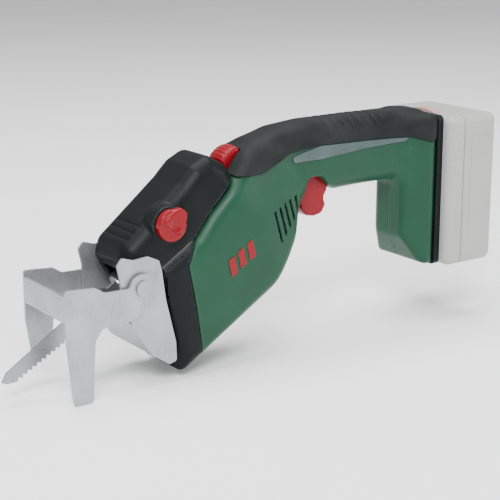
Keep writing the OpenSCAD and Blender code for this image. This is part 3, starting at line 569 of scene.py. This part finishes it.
def cover_field(x, y, z):
    """Soft cover over the grip, round the lock-off button and over the foot, with cross grooves."""
    skin_d = hull_field(x, y, z)
    along, across = to_barrel(x, z)
    region = both(flat_distance(COVER, x, z), 106.4 - along)
    well = box_field(along, y, across, *LOCK_WELL, 1)
    groove = (0.5 + 0.5 * np.cos(2 * math.pi * (x - 184) / 7.5)) ** 5
    on = ease((x - 160) / 10) * ease((226 - x) / 10) * ease((z - 88) / 4)
    piece = rounded(skin_d - COVER_T + 0.6 * groove * on, region, 0.8)
    return both(piece, -skin_d + 0.03, -well, z - GRIP_TOP - COVER_T + 0.05)


def stripe_field(x, y, z):
    """Grey strip along each side of the grip."""
    skin_d = hull_field(x, y, z)
    region = flat_distance(STRIPE, x, z)
    return both(rounded(skin_d - COVER_T + 0.5, region, 0.6), -skin_d + 0.03, 4 - np.abs(y))


def collar_field(x, y, z):
    """Dark band round the front of the barrel."""
    along, across = to_barrel(x, z)
    skin_d = barrel_field(x, y, z)
    region = flat_distance(COLLAR_LINE, along, across)
    shell = both(skin_d + 0.25, -skin_d - WALL - 0.5)
    shell = rounded(shell, region, 0.8)
    throat = box_field(along, y, across, (-10, -NOSE_HALF, -20), (60, NOSE_HALF, 20))
    return both(shell, -throat)


NOSE = arced([(3, -24, 0), (3, NOSE_RISE - 17, 8), (12, NOSE_RISE - 8.5, 10),
              (70, NOSE_RISE - 0.5, 10), (84, NOSE_RISE + 3, 8), (99, NOSE_RISE + 1.5, 8),
              (106, 26, 6), (106, -24, 0)])
NOSE_EDGE = arced([(3, -13, 2), (14, -13, 2), (20, 0, 4), (22, 2, 0), (40, 2, 0), (57, 2.2, 6),
                   (76, 9.6, 6), (105.8, 16.6, 1), (105.8, 70, 0), (3, 70, 0)])


def nose_field(x, y, z):
    """Cover over the gear case, with a round boss for the release lever."""
    along, across = to_barrel(x, z)
    lean = 0.10 * np.maximum(across - 8, 0)
    outer = rounded(flat_distance(NOSE, along, across), np.abs(y) - NOSE_HALF + lean, 11)
    boss = rounded(np.hypot(along - LEVER_AT[0], across - LEVER_AT[1]) - LEVER_R - 1.4,
                   both(-y - NOSE_HALF, y + 12), 0.8)
    outer = merged(outer, boss, 2.5)
    ribs = (0.5 + 0.5 * np.cos(2 * math.pi * (along - 18) / 6)) ** 3
    on = ease((along - 12) / 4) * ease((36 - along) / 4) * ease((across - 20) / 5)
    outer = outer + 0.7 * ribs * on * ease((17 - np.abs(y)) / 4)
    shell = both(outer, -outer - WALL)
    shell = rounded(shell, flat_distance(NOSE_EDGE, along, across), 0.6)
    hub = both(np.hypot(along - LEVER_AT[0], across - LEVER_AT[1]) - 6.2, y + 8)
    throat = box_field(along, y, across, (-5, -13, -10.5), (8, 13, 14), 2)
    return both(shell, -hub, -throat)


# ---------------------------------------------------------------- controls


WING = arced([(-3, -8, 3), (4, -8, 4), (13, -3.5, 3), (13, 3.5, 3), (4, 8, 4), (-3, 8, 3)])


def lever_field(x, y, z):
    """Round release lever with a finger wing and a dished face."""
    along, across = to_barrel(x, z)
    u, w = along - LEVER_AT[0], across - LEVER_AT[1]
    turn = math.radians(20)
    s, t = u * math.cos(turn) + w * math.sin(turn), w * math.cos(turn) - u * math.sin(turn)
    radius = np.hypot(u, w)
    disc = rounded(radius - LEVER_R, np.abs(y + NOSE_HALF + 3.15) - 2.85, 1.2)
    wing = rounded(flat_distance(WING, s, t), np.abs(y + NOSE_HALF + 5) - 3, 1.6)
    dish = np.sqrt(radius ** 2 + (y + NOSE_HALF + 20) ** 2) - 13
    hub = both(radius - 5.5, np.abs(y + NOSE_HALF - 3) - 5)
    flange = rounded(radius - 8, np.abs(y + NOSE_HALF - 9) - 1, 0.4)
    return either(both(merged(disc, wing, 1.5), -dish), hub, flange)


def lock_field(x, y, z):
    """Lock-off button with a domed top and grip ridges."""
    along, across = to_barrel(x, z)
    u = along - LOCK_AT
    top = 27.6 - 0.03 * u ** 2 - 0.02 * y ** 2 - 0.35 * (0.5 + 0.5 * np.cos(u * 2.0))
    sides = rounded(np.abs(u) - 8.5, np.abs(y) - 9, 2.5)
    core = both(np.hypot(u, y) - 4.5, across - 11)
    return both(rounded(sides, both(across - top, 6 - across), 2.2), -core)


TRIGGER = arced([(148, 62, 1), (148, 45, 4), (151.5, 33, 8), (156, 28.4, 4), (163, 27, 3),
                 (170, 28.4, 4), (174, 34.5, 5), (171.5, 40, 5), (175, 46, 4), (175, 62, 1)])


def trigger_field(x, y, z):
    """Finger trigger with rounded sides and a shallow finger hollow."""
    core = both(np.hypot(x - 167, y) - 4.5, 56 - z)
    hollow = np.sqrt((x - 146) ** 2 + (z - 36) ** 2) - 5
    shape = rounded(flat_distance(TRIGGER, x, z), np.abs(y) - 7.5, 2.2)
    return both(shape, -core, -hollow)


# ---------------------------------------------------------------- battery


def case_field(x, y, z):
    """Outer skin of the battery, with a shallow waist band and finger hollows."""
    plain = box_field(x, y, z, *CASE, 6.5)
    panel = rounded(np.abs(x - 300) - 11, np.abs(z - 36) - 44, 5)
    inset = 0.7 * ease(-panel / 1.2) * ease((np.abs(y) - 34) / 3)
    ribs = 0.5 - 0.5 * np.cos(2 * math.pi * (z - 2) / 6)
    hold = rounded(np.abs(x - 276) - 4, np.abs(z - 66) - 15, 2)
    grooves = 0.5 * (1 - ribs) ** 4 * ease(-hold / 1.0) * ease((np.abs(y) - 34) / 3)
    return plain + inset + grooves


def case_shell(x, y, z):
    """Battery skin with its wall."""
    outer = case_field(x, y, z)
    return both(outer, -outer - CASE_WALL)


def rail_channel_field(x, y, z):
    """T-shaped channel that slides on the foot's rails."""
    return either(box_field(x, y, z, *RAIL_NECK), box_field(x, y, z, *RAIL_HEAD))


def case_front_field(x, y, z):
    """Front of the battery, with its rail channel, spring shelf and openings."""
    shell = case_shell(x, y, z)
    lining = both(box_field(x, y, z, *RAIL_LINING), case_field(x, y, z))
    shelf = both(box_field(x, y, z, *SPRING_SHELF), case_field(x, y, z))
    half = both(either(shell, lining, shelf), x - CASE_SPLIT + CASE_SEAM)
    button = box_field(x, y, z, *BUTTON_WELL, 1)
    contacts = box_field(x, y, z, *CONTACT_WAY)
    return both(half, -rail_channel_field(x, y, z), -button, -contacts)


def case_rear_field(x, y, z):
    """Rear of the battery, with the way for the charge window."""
    button = box_field(x, y, z, *BUTTON_WELL, 1)
    window = box_field(x, y, z, *WINDOW_WAY)
    return both(case_shell(x, y, z), CASE_SPLIT + CASE_SEAM - x, -button, -window)


def button_field(x, y, z):
    """Battery release button with a dished, ribbed top."""
    top = 97.6 - 0.012 * y ** 2 - 0.35 * (0.5 + 0.5 * np.cos(y * 1.6))
    sides = rounded(np.abs(x - 277.3) - 4, np.abs(y) - 14, 1.5)
    foot = box_field(x, y, z, (275.3, -16, 85), (279.3, 16, 88), 0.3)
    return either(rounded(sides, both(z - top, 85 - z), 1.0), foot)


# ---------------------------------------------------------------- build


skin("green_housing", housing_field, (8, -32, -75), (264, 32, 99), STEP, "saw_body",
     ("housing_left", "housing_right"), "housing_green")
skin("dark_collar", collar_field, (0, -32, -66), (56, 32, 36), STEP, "saw_body",
     ("front_collar",), "housing_black")
skin("gear_cover", nose_field, (-20, -28, -14), (92, 28, 92), STEP, "saw_body",
     ("nose_cover",), "housing_black")
skin("soft_cover", cover_field, (70, -32, 66), (264, 32, 102), 0.8 * STEP, "saw_body",
     ("grip_cover",), "soft_black")
skin("grip_stripe", stripe_field, (130, -20, 66), (248, 20, 84), FINE, "saw_body",
     ("grip_stripes",), "grip_grey")
skin("side_bars", badge_field, (52, -33, -6), (108, 33, 40), FINE, "saw_body",
     ("side_badges",), "accent_red")
skin("lever", lever_field, (8, -35, 30), (50, -14, 62), FINE, "blade_lever",
     ("release_lever",), "accent_red")
skin("lock_button", lock_field, (74, -10, 58), (110, 10, 96), FINE, "lock_off",
     ("lock_off_button",), "accent_red")
skin("finger_trigger", trigger_field, (147, -8, 26), (176, 8, 63), FINE, "trigger_body",
     ("trigger",), "accent_red")
skin("pack_front", case_front_field, (268, -40, -23), (283, 40, 96), STEP, "battery",
     ("battery_case_front",), "battery_grey")
skin("pack_rear", case_rear_field, (281, -40, -23), (317, 40, 96), STEP, "battery",
     ("battery_case_rear",), "battery_grey")
skin("pack_button", button_field, (272, -17, 84), (283, 17, 99), FINE, "battery_latch",
     ("battery_button",), "button_rose")

for row in frame["record"]["subparts"]:
    node = frame["nodes"][row["node"]]
    if node.hide_render:
        continue
    node.data.materials.clear()
    node.data.materials.append(SLOTS[row["material_slot"]])

# Small rounded edges on the sheet metal and the plain CAD solids that show
for name, width in (("branch_bracket", 0.35), ("foot_plate", 0.3), ("rail_plate", 0.8),
                    ("saw_blade", 0.12), ("bracket_pins", 0.4), ("blade_clamp", 0.4),
                    ("clamp_sleeve", 0.3), ("plunger", 0.4)):
    piece = frame["nodes"][name]
    weld = piece.modifiers.new("weld", "WELD")
    weld.merge_threshold = 1e-6
    bevel = piece.modifiers.new("edges", "BEVEL")
    bevel.width = width * MM
    bevel.segments = 3
    bevel.limit_method = "ANGLE"
    bevel.angle_limit = math.radians(35)
    bevel.harden_normals = True

# ---------------------------------------------------------------- floor, light and camera


def floor():
    """Wide pale floor just under the saw."""
    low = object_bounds()[0].z - 0.0005
    turns = [k * math.pi / 32 for k in range(64)]
    mesh = bpy.data.meshes.new("floor")
    mesh.from_pydata([(12 * math.cos(a), 12 * math.sin(a), low) for a in turns], [],
                     [tuple(range(64))])
    obj = bpy.data.objects.new("floor", mesh)
    bpy.context.scene.collection.objects.link(obj)
    mat, nodes, links, shader, where = start("paper")
    tone = ranged(nodes, links, noise(nodes, links, where, 0.004, 3), 0, 1)
    links.new(mixed(nodes, links, tone, (0.93, 0.93, 0.93), (0.96, 0.96, 0.96)),
              shader.inputs["Base Color"])
    shader.inputs["Roughness"].default_value = 0.9
    mesh.materials.append(mat)
    obj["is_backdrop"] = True


def lamp(name, place, aim, size, power):
    """Rectangular soft light at a place, facing the aim."""
    data = bpy.data.lights.new(name, "AREA")
    data.shape = "RECTANGLE"
    data.size, data.size_y = size
    data.energy = power
    obj = bpy.data.objects.new(name, data)
    obj.location = place
    obj.rotation_euler = (Vector(aim) - Vector(place)).to_track_quat("-Z", "Y").to_euler()
    bpy.context.scene.collection.objects.link(obj)


floor()
AIM = Vector((0.11, 0, 0.01))
lamp("key", (-0.9, -1.3, 1.5), AIM, (1.0, 0.8), 62)
lamp("fill", (1.3, -1.2, 0.6), AIM, (1.0, 1.0), 14)
lamp("top", (0.1, 0.2, 1.6), AIM, (1.6, 1.2), 48)
world = bpy.data.worlds.new("studio")
world.use_nodes = True
world.node_tree.nodes["Background"].inputs["Color"].default_value = (1, 1, 1, 1)
world.node_tree.nodes["Background"].inputs["Strength"].default_value = 0.55
bpy.context.scene.world = world

CAMERA_AZIMUTH, CAMERA_RISE = math.radians(-35), math.radians(15)
CAMERA_TARGET = Vector((0.1099, 0, 0.0078))
CAMERA_DISTANCE = 0.98
back = Vector((math.sin(CAMERA_AZIMUTH) * math.cos(CAMERA_RISE),
               -math.cos(CAMERA_AZIMUTH) * math.cos(CAMERA_RISE), math.sin(CAMERA_RISE)))
camera = bpy.data.objects.new("camera", bpy.data.cameras.new("camera"))
camera.data.lens = 97.2
camera.data.sensor_width = 36
camera.location = CAMERA_TARGET + back * CAMERA_DISTANCE
camera.rotation_euler = (-back).to_track_quat("-Z", "Y").to_euler()
bpy.context.scene.collection.objects.link(camera)
bpy.context.scene.camera = camera

bpy.context.view_layer.update()
